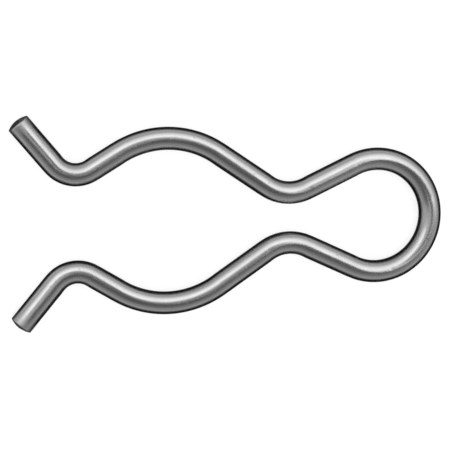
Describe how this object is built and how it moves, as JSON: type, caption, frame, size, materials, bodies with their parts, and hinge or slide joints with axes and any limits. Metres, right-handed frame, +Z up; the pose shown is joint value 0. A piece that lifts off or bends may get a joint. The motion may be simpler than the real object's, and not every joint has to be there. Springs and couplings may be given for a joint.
{
  "type": "external hitch pin clip",
  "caption": "Bent round-wire spring clip: a closed loop, two waved legs that hold a shaft between them, and flared tips that let it in.",
  "frame": {"origin": "middle of the eye, where the held shaft's axis passes, at half of the wire's thickness", "axes": "+X along the clip to its closed loop, +Y across the legs, +Z square to the bent wire and along the held shaft; the clip lies flat with +Z up"},
  "size_m": [0.0609, 0.0294, 0.0032],
  "materials": {
    "zinc_plated_spring_steel": "bright zinc plate over drawn spring wire, with fine lengthwise drawing marks"
  },
  "bodies": {
    "root": {"spring_clip": "zinc_plated_spring_steel"}
  },
  "joints": []
}
